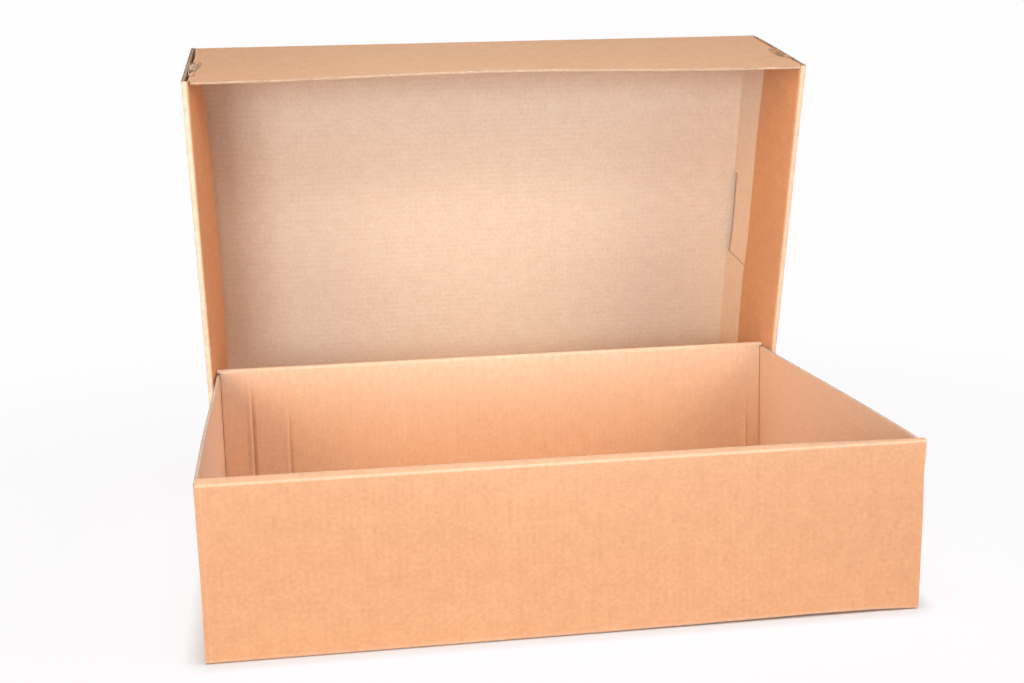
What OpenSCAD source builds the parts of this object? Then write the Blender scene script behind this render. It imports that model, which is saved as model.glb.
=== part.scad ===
// Two-piece corrugated board box: an open tray with rolled-over long walls, and its full-depth
// lift-off lid, which stands on its long side behind the tray with its mouth to the front.
// Both are folded from one die-cut sheet each. Millimetres, +Z up, +Y to the back,
// origin at the centre of the tray's underside.

/* [Board] */
// Thickness of the corrugated board
board = 3; // [2:0.1:4]
// Slack between two layers of board that lie on each other
layer_gap = 0.2; // [0.1:0.05:0.5]
// Slack round a tab in its slot
tab_slack = 0.4; // [0.2:0.1:1]
// Space between the end of a rolled-over panel and the single wall beside it
inner_end_gap = 1.6; // [0.4:0.1:2.2]

/* [Base tray] */
// Length outside, along X
base_length = 640; // [450:1:900]
// Width outside, along Y
base_width = 486; // [360:1:700]
// Height to the top of the rolled-over walls
base_height = 160; // [110:1:220]
// How far the end walls' cut edges stay below the rolled tops
end_drop = 4.4; // [4.2:0.1:12]
// Length of the end walls' corner flaps, inside the rolled walls
base_flap = 80; // [40:1:180]
// Taper of those flaps at their free end, top and bottom
base_flap_taper = 8; // [0:1:20]
// Length of one of the tabs that lock a rolled wall into the floor
floor_tab_length = 60; // [30:1:90]
// Distance between the middles of the two tabs of a wall
floor_tab_spacing = 300; // [160:1:340]

/* [Lid] */
// Clearance between the lid and the base on each side
lid_clearance = 0.8; // [0.4:0.1:2]
// Depth outside, from the mouth to the panel
lid_depth = 174; // [140:1:240]
// Reach of the rolled-over end panels, from the mouth
lid_cover = 103; // [70:1:125]
// Length of the upper long wall's corner flaps
lid_upper_flap = 266; // [190:1:300]
// Cut between the upper and lower corner flaps
flap_cut = 1.5; // [0.5:0.1:4]
// Distance from the corner to the step in an upper flap's edge
flap_step_at = 165; // [80:1:180]
// Depth of that step
flap_step = 3; // [1:0.5:8]
// Length of the ear that locks a rolled-over end panel at the corner
ear_length = 44; // [20:1:55]
// Distance from the rolled-over panel's free edge to the ear
ear_setback = 7; // [3:1:12]

/* [Standing lid] */
// Angle by which the lid leans forward over the base, in degrees
lid_lean = 13.3; // [4:0.1:16]
// Space on the floor between the base's back wall and the lid's mouth
lid_stand_gap = 4; // [2:0.5:12]

/* [Hidden] */
$fn = 48;
// Outer radius of a crease in single board
crease_r = board;
// Layers of a rolled-over wall, from its outer face: a corner flap, then the inner panel
flap_at = board + layer_gap;
inner_panel_at = flap_at + board + layer_gap;
rolled_wall_t = inner_panel_at + board;
lid_length = base_length + 2 * lid_clearance + 2 * rolled_wall_t;
lid_width = base_width + 2 * lid_clearance + 2 * board;
lid_lower_flap = lid_width - 2 * board - lid_upper_flap - flap_cut;
// Overshoot of a cutting shape
past = 1;
base_outer_kraft = [0.80, 0.56, 0.38];
lid_outer_kraft = [0.78, 0.55, 0.38];

// Quarter-round crease in single board, its outer corner at the origin
module crease_section() {
    intersection() {
        square(board);
        translate([crease_r, crease_r]) circle(crease_r);
    }
}

// Section of a rolled-over wall: outer face on the Y axis, floor on the X axis, mouth at the top.
// The inner panel hangs from the rolled top and reaches down by cover.
module rolled_section(depth, cover) {
    crease_section();
    translate([0, board]) square([board, depth - 2 * board]);
    translate([inner_panel_at, depth - cover]) square([board, cover - board]);
    translate([board, depth - board]) square([rolled_wall_t - 2 * board, board]);
    for (shoulder = [board, rolled_wall_t - board])
        translate([shoulder, depth - board]) intersection() {
            circle(board);
            translate([-board, 0]) square([2 * board, board]);
        }
}

// A rolled-over wall along X, outer face at y = 0 and inside towards +y.
// The inner panel is shorter than the wall, so that it drops between the single walls.
module rolled_wall(run, depth, cover) {
    trim = flap_at + inner_end_gap;
    difference() {
        rotate([90, 0, 90]) translate([0, 0, -run / 2])
            linear_extrude(run) rolled_section(depth, cover);
        for (side = [-1, 1])
            translate([side * run / 2, 0, 0])
                translate([-trim, inner_panel_at - layer_gap / 2, -past])
                    cube([2 * trim, board + past, depth - board + past]);
    }
}

// A single wall along Y between its two bends, outer face at x = 0 and inside towards +x.
// The tray is across wide there.
module single_wall(across, height) {
    span = across - 2 * flap_at - 2 * crease_r;
    translate([0, span / 2, 0]) rotate([90, 0, 0]) linear_extrude(span) {
        crease_section();
        translate([0, board]) square([board, height - board]);
    }
}

// The bend between a single wall and one of its corner flaps: a quarter tube, corner at the origin
module corner_bend(foot, height) {
    translate([0, 0, foot]) linear_extrude(height - foot) crease_section();
}

// A corner flap that runs along +x from a bend, with its outer face at y = 0
module corner_flap(outline) {
    translate([board, board, 0]) rotate([90, 0, 0]) linear_extrude(board) polygon(outline);
}

// Outline of a flap that may taper towards its free end
function tapered_flap(length, taper, foot, head) = [
    [0, foot], [length, foot + taper], [length, head - taper], [0, head]
];

// Outline of a long flap whose floor-side edge steps back part of the way along
function stepped_flap(length, step_at, step, foot, head) = [
    [0, foot], [step_at, foot], [step_at, foot + step],
    [length, foot + step], [length, head], [0, head]
];

// Base tray: floor, two rolled-over long walls locked into it, two single end walls
module base_tray() {
    flap_foot = board + layer_gap;
    wall_head = base_height - end_drop;
    cover = base_height - flap_foot;
    tab_x = [-floor_tab_spacing / 2, floor_tab_spacing / 2];
    slot_length = floor_tab_length + 2 * tab_slack;
    slot_y = inner_panel_at - tab_slack;

    color(base_outer_kraft) {
        difference() {
            translate([-base_length / 2 + board, -base_width / 2 + board, 0])
                cube([base_length - 2 * board, base_width - 2 * board, board]);
            for (turn = [0, 180], x = tab_x)
                rotate(turn) translate([x - slot_length / 2, -base_width / 2 + slot_y, -past])
                    cube([slot_length, board + 2 * tab_slack, board + 2 * past]);
        }
        for (turn = [0, 180]) rotate(turn) {
            translate([0, -base_width / 2, 0]) {
                rolled_wall(base_length, base_height, cover);
                for (x = tab_x)
                    translate([x - floor_tab_length / 2, inner_panel_at, tab_slack])
                        cube([floor_tab_length, board, 2 * board]);
            }
            translate([-base_length / 2, 0, 0]) {
                single_wall(base_width, wall_head);
                for (end = [0, 1]) mirror([0, end, 0]) translate([0, -base_width / 2 + flap_at, 0]) {
                    corner_bend(flap_foot, wall_head);
                    corner_flap(tapered_flap(base_flap, base_flap_taper, flap_foot, wall_head));
                }
            }
        }
    }
}

// A long wall of the lid with its two bends, cut through at the corners for the ears
module single_wall_cut_for_ears(slot_x, slot, slot_foot, flap_foot, wall_head) {
    difference() {
        union() {
            single_wall(lid_length, lid_depth);
            for (end = [0, 1]) mirror([0, end, 0]) translate([0, -lid_length / 2 + flap_at, 0])
                corner_bend(flap_foot, wall_head);
        }
        for (end = [0, 1]) mirror([0, end, 0])
            translate([-slot[1] / 2, -lid_length / 2 + slot_x, slot_foot]) cube([slot[1], slot[0], slot[2]]);
    }
}

// The lid lying on its panel, mouth up, with its upper long wall towards +Y
module lid_lying() {
    flap_foot = board + layer_gap;
    wall_head = lid_depth - board - layer_gap;
    ear_foot = lid_depth - lid_cover + ear_setback;
    slot_x = flap_at - layer_gap / 2;
    slot = [inner_panel_at + board + tab_slack - slot_x, 2 * (board + past), ear_length + 2 * tab_slack];
    upper_flap = stepped_flap(lid_upper_flap, flap_step_at, flap_step, flap_foot, wall_head);
    lower_flap = tapered_flap(lid_lower_flap, 0, flap_foot, wall_head);

    translate([-lid_length / 2 + board, -lid_width / 2 + board, 0])
        cube([lid_length - 2 * board, lid_width - 2 * board, board]);
    for (end = [0, 1]) mirror([end, 0, 0]) translate([-lid_length / 2, 0, 0]) {
        rotate(-90) rolled_wall(lid_width, lid_depth, lid_cover);
        for (side = [-1, 1])
            translate([inner_panel_at, side * (lid_width / 2 - board) - board, ear_foot])
                cube([board, 2 * board, ear_length]);
    }
    for (side = [0, 1]) mirror([0, side, 0]) translate([0, lid_width / 2, 0]) {
        rotate(-90) single_wall_cut_for_ears(slot_x, slot, ear_foot - tab_slack, flap_foot, wall_head);
        for (end = [0, 1]) mirror([end, 0, 0]) translate([-lid_length / 2 + flap_at, 0, 0])
            rotate(-90) corner_flap(side == 0 ? upper_flap : lower_flap);
    }
}

// Lid, standing behind the base on the mouth edge of its lower long wall and leaning over it
module lid() {
    color(lid_outer_kraft)
        translate([0, base_width / 2 + lid_stand_gap, 0])
            rotate([90 + lid_lean, 0, 0])
                translate([0, lid_width / 2, -lid_depth]) lid_lying();
}

base_tray();
lid();
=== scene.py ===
"""Looks of an open two-piece corrugated box: a rolled-wall tray, and its lift-off lid standing behind it.

Each tray is built again as the folded sheet that it is: strips of board follow the section of the
folds, carry the ripple of the flutes, and end in cut edges that show both liners.
"""
import math
from typing import NamedTuple

import bmesh
import bpy
import numpy as np
from mathutils import Matrix, Vector


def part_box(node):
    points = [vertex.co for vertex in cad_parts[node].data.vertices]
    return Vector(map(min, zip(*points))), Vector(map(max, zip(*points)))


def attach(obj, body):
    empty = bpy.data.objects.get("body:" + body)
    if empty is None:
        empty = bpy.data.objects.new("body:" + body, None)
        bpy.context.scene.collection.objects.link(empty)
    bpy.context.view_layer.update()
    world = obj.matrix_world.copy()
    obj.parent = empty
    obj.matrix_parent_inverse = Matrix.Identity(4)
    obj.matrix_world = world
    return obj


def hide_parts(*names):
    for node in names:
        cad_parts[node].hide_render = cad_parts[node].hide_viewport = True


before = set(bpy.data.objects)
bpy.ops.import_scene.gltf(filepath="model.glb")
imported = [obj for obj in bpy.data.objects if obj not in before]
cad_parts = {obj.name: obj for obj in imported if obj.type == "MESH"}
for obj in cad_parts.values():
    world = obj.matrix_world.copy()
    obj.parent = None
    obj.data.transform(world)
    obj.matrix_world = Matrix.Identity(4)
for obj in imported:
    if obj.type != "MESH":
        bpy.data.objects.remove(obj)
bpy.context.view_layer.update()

# Board, in metres
BOARD = 0.003
HALF = BOARD / 2
LAYER_GAP = 0.0002
TAB_SLACK = 0.0004
FOLD_INNER_R = 0.0003
FOLD_R = FOLD_INNER_R + HALF
LINER = 0.00045
FLUTE_PITCH = 0.0065
FLUTE_RIPPLE = 0.00005
FOLDS_FLATTEN = 0.7
CREASE_PAST = 0.0034

# Meshes: steps along a panel and over a fold, samples across a flute, and how far the coordinates of
# separate strips lie apart on the flat sheet
PANEL_STEP = 0.028
FOLD_SIDE = 0.0015
FOLD_STEPS = 5
SAMPLES_PER_FLUTE = 3
CLOSE_STOPS = 0.3
SAME_PLACE = 1e-5
TINY = 1e-12
SHEET_APART = 3.0
SHARP_ANGLE = math.radians(40)

# Layers of a rolled wall, from its outer face
FLAP_AT = BOARD + LAYER_GAP
INNER_PANEL_AT = FLAP_AT + BOARD + LAYER_GAP
INNER_MID = INNER_PANEL_AT + HALF
FLAP_MID = FLAP_AT + HALF
ROLL_T = INNER_PANEL_AT + BOARD
# Depth within which a point belongs to a single wall, and the share from which it is of a loose panel
WALL_DEPTH = 2.2 * BOARD
MOSTLY = 0.9

# Base tray, from the frame
base_low, base_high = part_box("base_tray")
BASE_LENGTH = base_high[0] - base_low[0]
BASE_WIDTH = base_high[1] - base_low[1]
BASE_HEIGHT = base_high[2] - base_low[2]
END_DROP = 0.0044
BASE_FLAP = 0.080
BASE_INNER_GAP = 0.0006
FLOOR_TAB = 0.060
FLOOR_TAB_SPACING = 0.300

# Lid, from the frame and its own depth and lean
LID_LEAN = math.radians(13.3)
LID_DEPTH = 0.174
LID_COVER = 0.103
LID_UPPER_FLAP = 0.266
FLAP_CUT = 0.0015
FLAP_STEP_AT = 0.165
FLAP_STEP = 0.0045
FLAP_STEP_RUN = 0.001
EAR_LENGTH = 0.044
EAR_SETBACK = 0.007
EAR_TEAR = 0.0012
EAR_TUCK = 0.0028
EAR_STEPS = 12
LID_INNER_GAP = 0.0018
LID_STAND_GAP = 0.004
lid_low, lid_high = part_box("lid")
LID_LENGTH = lid_high[0] - lid_low[0]
LID_WIDTH = (lid_high[2] - LID_DEPTH * math.sin(LID_LEAN)) / math.cos(LID_LEAN)
LID_FOOT_Y = base_high[1] + LID_STAND_GAP

OUTER_LINER = 0
INNER_LINER = 1
CUT_EDGE = 2


class Finish(NamedTuple):
    """A strip's cut edges and liners: how deep the flutes lie back, how pale the edges are, how pale the
    edge at the last stop is, and the liners' slots. On a flake the paleness also fades its liners, and
    less than 0 is painted shade. The outer panels' hidden insides are brown too: a darker liner put there
    as painted shade for the gaps where they show."""
    recess: float
    pale: float
    pale_last: float
    liners: tuple = (OUTER_LINER, INNER_LINER)

    def inside(self, panel):
        # Painted shade: the outer panels' hidden insides take the brown outer liner, so the gaps where
        # they show read dark
        return self.liners[0] if panel.startswith("outer") else self.liners[1]


BASE_ROLLED = Finish(0.0005, 0.30, 0.30)
BASE_END = Finish(0.0006, 0.10, 0.65)
LID_ROLLED = Finish(0.0010, 0.0, 0.0)
LID_MOUTH = Finish(0.0004, 0.0, 0.38)
TORN_FIBRE = Finish(0.0003, 0.40, 0.40, (CUT_EDGE, CUT_EDGE))
# Brown liner darkened as painted shade: in the dent beside the crushed left ear, and more in the sunk
# right ear's recess
TORN_LINER_PAINTED_SHADE = Finish(0.0003, -0.28, -0.28)
TORN_DEEP_PAINTED_SHADE = Finish(0.0003, -0.45, -0.45)
TORN_PALE = Finish(0.0003, 0.14, 0.14)

# Fading of the liner towards the pale tint, at folds partly from scuffing and partly a painted highlight,
# and beside the base's rolled tops a painted light. Less than 0 is painted shade, in pressed creases
# beside ridges and at a flap's stepped edge
FOLD_WEAR = {"fold": 0.20}
# Base folds: scuffed creases, and a painted highlight on the front roll's outer fold
BASE_WEAR_AND_HIGHLIGHT = {
    "fold outer near 1": 0.30, "fold outer near 2": 0.45, "fold outer near 3": 0.15,
    "fold outer far": 0.20, "top far": 0.15, "fold foot": 0.20,
}
# Lid's rolled edges: much paler, partly scuffed and partly a painted highlight where they face the light
LID_WEAR_AND_HIGHLIGHT = {
    "fold outer near": 0.85, "top near": 0.90, "fold inner near 1": 0.75, "fold inner near 2": 0.40,
    "fold outer far": 0.55, "top far": 0.60, "fold inner far 4": 0.40, "fold inner far 5": 0.55,
    "fold foot": 0.20,
}
# Painted light: the base's walls are paler down from the rolled tops, as if lit more there; its reach
# inwards and outwards, its share on the outer panels, and stations beside the tops
BASE_TOP_PAINTED_LIGHT = {"top near": 0.12, "top far": 0.46}
TOP_LIGHT_OUTER_SHARE = 0.60
TOP_LIGHT_REACH_INNER = 0.060
TOP_LIGHT_REACH_OUTER = 0.040
BESIDE_TOP_MARKS = (0.005, 0.012)


# Folded sections

class Section:
    """Stations along a folded section: places, outward normals, lengths and the panel of each step."""

    def __init__(self, start, heading):
        self.places = [np.array(start, float)]
        self.heading = np.array(heading, float)
        self.normals = [self.left()]
        self.lengths = [0.0]
        self.panels = []
        self.along = []

    def left(self):
        return np.array([-self.heading[1], self.heading[0]])

    def step_to(self, place, normal, advance, panel, along):
        self.places.append(place)
        self.normals.append(normal)
        self.lengths.append(self.lengths[-1] + advance)
        self.panels.append(panel)
        self.along.append(along)

    def panel(self, name, length, marks=()):
        """A flat panel, with stations at the marks, given as distances from where it starts."""
        count = max(1, round(length / PANEL_STEP))
        sides = (FOLD_SIDE, length - FOLD_SIDE) if length > 4 * FOLD_SIDE else ()
        stops = sorted({*np.linspace(0, length, count + 1), *sides, *marks})
        stops = [s for s in stops if 0 <= s <= length]
        kept = stops[:1]
        for stop in stops[1:]:
            if stop - kept[-1] > SAME_PLACE:
                kept.append(stop)
        origin = self.places[-1]
        for a, b in zip(kept, kept[1:]):
            self.step_to(origin + self.heading * b, self.left(), b - a, name, (a + b) / 2)
        return self

    def looseness(self):
        """Shares of an inner panel and of a flap at each station. Both lie loose in a rolled wall, and the
        shares ease to 0 over the folds beside them."""
        known_at, inner, flap = [], [], []
        for i, panel in enumerate(self.panels):
            if not panel.startswith(("fold", "top")):
                known_at += [self.lengths[i], self.lengths[i + 1]]
                inner += 2 * [float(panel.startswith("inner"))]
                flap += 2 * [float(panel.startswith("flap"))]
        if not known_at:
            return np.zeros((2, len(self.lengths)))
        return np.array([np.interp(self.lengths, known_at, share) for share in (inner, flap)])

    def worn(self, table):
        """Fading at each station, the mean of its two steps, from a table by how panels' names start."""
        steps = []
        for panel in self.panels:
            fades = [fade for name, fade in table.items() if panel.startswith(name)]
            steps.append(fades[0] if fades else 0.0)
        return (np.array([0.0, *steps]) + np.array([*steps, 0.0])) / 2

    def folded(self):
        """How far each station is part of a fold, from 0 to 1."""
        return self.worn({"fold": 1.0, "top": 1.0})

    def rubbed(self, table):
        """Painted light beside the rolled tops, paler nearer them, from a table by their panels' names:
        less on the outer panels.
        """
        lengths = np.array(self.lengths)
        fade = np.zeros(len(lengths))
        for i, panel in enumerate(self.panels):
            if panel in table:
                towards_inner = (lengths < lengths[i]) == panel.endswith("far")
                reach = np.where(towards_inner, TOP_LIGHT_REACH_INNER, TOP_LIGHT_REACH_OUTER)
                weight = table[panel] * np.where(towards_inner, 1.0, TOP_LIGHT_OUTER_SHARE)
                fade = np.maximum(fade, weight * np.exp(-np.abs(lengths - lengths[i]) / reach))
        return fade

    def fold(self, name):
        """A right-angled fold to the right, so that the outer liner stays on the left, outside. Its steps
        are numbered after the name."""
        centre = self.places[-1] - self.left() * FOLD_R
        first = math.atan2(*self.left()[::-1])
        for k in range(1, FOLD_STEPS + 1):
            angle = first - k * math.pi / 2 / FOLD_STEPS
            normal = np.array([math.cos(angle), math.sin(angle)])
            advance = FOLD_R * math.pi / 2 / FOLD_STEPS
            self.step_to(centre + normal * FOLD_R, normal, advance, f"{name} {k}", (k - 0.5) / FOLD_STEPS)
        self.heading = np.array([self.heading[1], -self.heading[0]])
        return self


def flute_stops(low, high, marks=()):
    """Places across the flutes from low to high, in step with the ripple, with the marks among them."""
    pitch = FLUTE_PITCH / SAMPLES_PER_FLUTE
    first = math.ceil(low / pitch)
    last = math.floor(high / pitch)
    fixed = sorted({low, high, *[m for m in marks if low < m < high]})
    close = pitch * CLOSE_STOPS
    regular = [k * pitch for k in range(first, last + 1)]
    regular = [r for r in regular if min(abs(r - f) for f in fixed) > close]
    return np.array(sorted(fixed + regular))


def add_object(name, data):
    made = bpy.data.objects.new(name, data)
    bpy.context.scene.collection.objects.link(made)
    return made


# Sheet meshes

class SheetMesh:
    """Collects closed strips of board, with the flat sheet's own coordinates on every vertex."""

    def __init__(self):
        self.verts = []
        self.sheet = []
        self.worn = []
        self.faces = []
        self.slots = []

    def add_vertex(self, place, sheet, worn):
        self.verts.append(place)
        self.sheet.append(sheet)
        self.worn.append(worn)
        return len(self.verts) - 1

    def strip(self, section, stops, to_tray, keep, warp, sheet_at, worn, finish):
        """A strip of board: the section drawn along the stops. keep(panel, along, stop) says which cells
        exist, to_tray places a section point at a stop, warp moves a point of the finished tray, and
        worn is the fading of the liner at each station and stop."""
        places = np.array(section.places)
        normals = np.array(section.normals)
        shape = (len(places), len(stops))
        ripple = FLUTE_RIPPLE * np.cos(2 * math.pi * stops / FLUTE_PITCH)
        inner, flap = section.looseness()[:, :, None]
        sides = []
        for sign in (1, -1):
            offset = sign * HALF + np.outer(1 - FOLDS_FLATTEN * section.folded(), ripple)
            flat = places[:, None, :] + normals[:, None, :] * offset[:, :, None]
            sides.append(warp(to_tray(flat, np.broadcast_to(stops, shape)), inner, flap))
        middle = (stops[1:] + stops[:-1]) / 2
        present = np.array([[keep(panel, along, m) for m in middle]
                            for panel, along in zip(section.panels, section.along)])
        self.skin(sides, present, section, stops, np.broadcast_to(worn, shape), sheet_at, finish)

    def skin(self, sides, present, section, stops, worn, sheet_at, finish):
        """Faces of both liners and of every cut edge, for the cells that are present."""
        lengths = section.lengths
        index = ({}, {})

        def corner(side, i, j):
            known = index[side]
            if (i, j) not in known:
                sheet = (stops[j] + sheet_at[0], lengths[i] + sheet_at[1], float(side))
                known[i, j] = self.add_vertex(sides[side][i, j], sheet, worn[i, j])
            return known[i, j]

        edges = []
        inward = {}
        rows, columns = present.shape
        for i, j in zip(*np.nonzero(present)):
            ring = [(i, j), (i + 1, j), (i + 1, j + 1), (i, j + 1)]
            self.add_face([corner(0, *p) for p in ring], finish.liners[0])
            self.add_face([corner(1, *p) for p in reversed(ring)], finish.inside(section.panels[i]))
            for a, (di, dj) in enumerate(((0, -1), (1, 0), (0, 1), (-1, 0))):
                ni, nj = i + di, j + dj
                if 0 <= ni < rows and 0 <= nj < columns and present[ni, nj]:
                    continue
                pair = (ring[a], ring[(a + 1) % 4])
                edges.append(pair)
                for p in pair:
                    inward.setdefault(p, set()).add((-di, -dj))
        self.cut_edges(sides, edges, inward, corner, lengths, stops, sheet_at, finish)

    def cut_edges(self, sides, edges, inward, corner, lengths, stops, sheet_at, finish):
        """The board's cut edges: a lip for each liner, and the flutes set back between them."""
        lip = LINER / BOARD
        made = {}

        def groove(p):
            if p not in made:
                i, j = p
                outer, inner = sides[0][i, j], sides[1][i, j]
                back = np.zeros(3)
                for di, dj in inward[p]:
                    ni = min(max(i + di, 0), len(lengths) - 1)
                    nj = min(max(j + dj, 0), len(stops) - 1)
                    way = sides[0][ni, nj] - outer
                    back += way / (np.linalg.norm(way) + TINY)
                sheet = (stops[j] + sheet_at[0], lengths[i] + sheet_at[1], 0.5)
                places = [outer + (inner - outer) * lip, inner + (outer - inner) * lip]
                back = back * finish.recess
                places = [places[0], places[0] + back, places[1] + back, places[1]]
                pale = finish.pale_last if j == len(stops) - 1 else finish.pale
                made[p] = [self.add_vertex(place, sheet, pale) for place in places]
            return made[p]

        for a, b in edges:
            line_a = [corner(0, *a), *groove(a), corner(1, *a)]
            line_b = [corner(0, *b), *groove(b), corner(1, *b)]
            for k in range(len(line_a) - 1):
                self.add_face([line_b[k], line_a[k], line_a[k + 1], line_b[k + 1]], CUT_EDGE)

    def add_face(self, corners, slot):
        self.faces.append(corners)
        self.slots.append(slot)

    def to_object(self, name, to_world, materials):
        """A Blender object of all the strips, in the frame, with outward normals."""
        verts = np.array(self.verts)
        verts = verts @ np.array(to_world.to_3x3()).T + np.array(to_world.translation)
        mesh = bpy.data.meshes.new(name)
        mesh.from_pydata(verts.tolist(), [], self.faces)
        for material in materials:
            mesh.materials.append(material)
        mesh.polygons.foreach_set("material_index", self.slots)
        sheet = mesh.attributes.new("sheet", "FLOAT_VECTOR", "POINT")
        sheet.data.foreach_set("vector", np.array(self.sheet, np.float32).ravel())
        worn = mesh.attributes.new("worn", "FLOAT", "POINT")
        worn.data.foreach_set("value", np.array(self.worn, np.float32))
        work = bmesh.new()
        work.from_mesh(mesh)
        bmesh.ops.recalc_face_normals(work, faces=work.faces)
        work.to_mesh(mesh)
        work.free()
        mesh.shade_smooth()
        mesh.set_sharp_from_angle(angle=SHARP_ANGLE)
        return add_object(name, mesh)


def rolled_strip(sheet, run, across, depth, cover, marks, keep, warp, scuffs_and_painted_light, finish):
    """The strip through both rolled walls and the panel between them. marks are those of the inner panel's
    foot, of the panel, and across the flutes. The fading function gives the liner's paler and darker
    tints, from scuffing and from painted light and shade."""
    foot_marks, panel_marks, stop_marks = marks
    rolled_top = INNER_MID - HALF - 2 * FOLD_R
    inner = cover - HALF - FOLD_R
    outer = depth - 2 * HALF - 2 * FOLD_R
    panel = across - 2 * HALF - 2 * FOLD_R
    section = Section((across / 2 - INNER_MID, depth - cover), (0, 1))
    section.panel("inner far", inner, [*foot_marks, *[inner - m for m in BESIDE_TOP_MARKS]])
    section.fold("fold inner far").panel("top far", rolled_top).fold("fold outer far")
    section.panel("outer far", outer, BESIDE_TOP_MARKS).fold("fold foot far")
    section.panel("panel", panel, [*panel_marks, *[panel - m for m in panel_marks]])
    section.fold("fold foot near").panel("outer near", outer, [outer - m for m in BESIDE_TOP_MARKS])
    section.fold("fold outer near").panel("top near", rolled_top).fold("fold inner near")
    section.panel("inner near", inner, [*BESIDE_TOP_MARKS, *[inner - m for m in foot_marks]])
    ends = run / 2 - FLAP_AT
    stops = flute_stops(-run / 2, run / 2, [-ends, ends, *stop_marks])

    def to_tray(flat, stop):
        return np.stack([stop, flat[..., 0], flat[..., 1]], -1)

    sheet.strip(section, stops, to_tray, keep, warp, (0.0, 0.0), scuffs_and_painted_light(section, stops), finish)


def single_strip(sheet, run, across, depth, flap_ends, marks, keep, warp, scuffs_and_painted_light, turn, finish):
    """A single wall with its two bends and corner flaps, drawn in plan, and its foot crease. marks are
    those along the wall and over its depth, the fading function gives the liner's paler and darker tints,
    from scuffing and from painted shade, and turn is 1 or -1 for the tray's two ends."""
    wall_marks, stop_marks = marks
    sheet_at = (SHEET_APART * turn, SHEET_APART)
    far_flap, near_flap = flap_ends
    wall = across - 2 * FLAP_MID - 2 * FOLD_R
    section = Section((run / 2 - HALF - FOLD_R - far_flap, across / 2 - FLAP_MID), (1, 0))
    step_marks = (FLAP_STEP_AT - FLAP_STEP_RUN, FLAP_STEP_AT)
    section.panel("flap far", far_flap, [far_flap - m for m in step_marks]).fold("fold far")
    section.panel("wall", wall, wall_marks).fold("fold near")
    section.panel("flap near", near_flap, step_marks)
    foot = HALF + FOLD_R
    stops = flute_stops(foot, depth, stop_marks)

    def to_tray(flat, stop):
        return np.stack([turn * flat[..., 0], turn * flat[..., 1], stop], -1)

    sheet.strip(section, stops, to_tray, keep, warp, sheet_at, scuffs_and_painted_light(section, stops), finish)

    crease = Section((-run / 2 + HALF + FOLD_R, HALF), (-1, 0)).fold("fold foot")
    crease_end = wall / 2 + CREASE_PAST
    along = np.linspace(-crease_end, crease_end, max(2, round(wall / PANEL_STEP)) + 1)

    def crease_to_tray(flat, stop):
        return np.stack([-turn * flat[..., 0], -turn * stop, flat[..., 1]], -1)

    crease_wear = wear_folds(crease, along)
    sheet.strip(crease, along, crease_to_tray, keep_all, warp, sheet_at, crease_wear, finish)


def keep_all(panel, along, stop):
    return True


def wear_folds(section, stops):
    return section.worn(FOLD_WEAR)[:, None]


# Base tray

def limited(values):
    """Values held between 0 and 1."""
    return np.clip(values, 0, 1)


def hump(x, middle, half_width):
    """A smooth bump of height 1 that reaches 0 at half_width on either side of the middle."""
    t = limited(np.abs(x - middle) / half_width)
    return np.cos(t * math.pi / 2) ** 2


# The end walls' bellies: how far they stand out, middle and half width along Y, and the power of height
BASE_LEFT_BOW = 0.0025
BASE_RIGHT_BOW = 0.0020
LEFT_BELLY = (-0.10, 0.33)
RIGHT_BELLY = (-0.06, 0.25)
BELLY_POWER = 1.5

# The right foot is tucked in towards the front, and the front wall's foot is lifted off the floor
RIGHT_FOOT_TUCK = 0.0040
FOOT_TUCK_REACH = 0.44
FOOT_LIFT_AT = (-0.32, 0.0, 0.12, 0.22, 0.28, 0.32)
FOOT_LIFT = (0.0003, 0.0006, 0.0012, 0.0023, 0.0020, 0.0003)
FOOT_LIFT_REACH = 0.06

# The front roll slopes down to the front, and rises to the left
FRONT_ROLL_DIP = 0.0013
FRONT_ROLL_AT = (-0.32, 0.0, 0.20, 0.32)
FRONT_ROLL_RISE = (0.0030, 0.0020, 0.0012, -0.0018)
FRONT_ROLL_HEAD = 0.02
FRONT_ROLL_REACH = 1.3 * ROLL_T

# A dent in the front's right edge, and a crease beside its left edge
EDGE_DENT = 0.0012
EDGE_DENT_HEIGHT = 0.128
EDGE_DENT_HALF = 0.016
LEFT_CREASE_X = 0.0042 - BASE_LENGTH / 2
LEFT_CREASE_HALF = 0.0012
LEFT_CREASE_DEPTH = 0.0002
LEFT_CREASE_WEAR = 0.10

# Ridges over hidden flaps: widths of the rise, the tip and the fall, the groove's share, and the darkness
# of the shade painted in it
RIDGE_RISE = 0.0050
RIDGE_TIP = 0.0006
RIDGE_FALL = 0.0014
RIDGE_GROOVE = 0.35
RIDGE_SHADE = 0.9
RIDGE_RUN_OUT = 0.3


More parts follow.
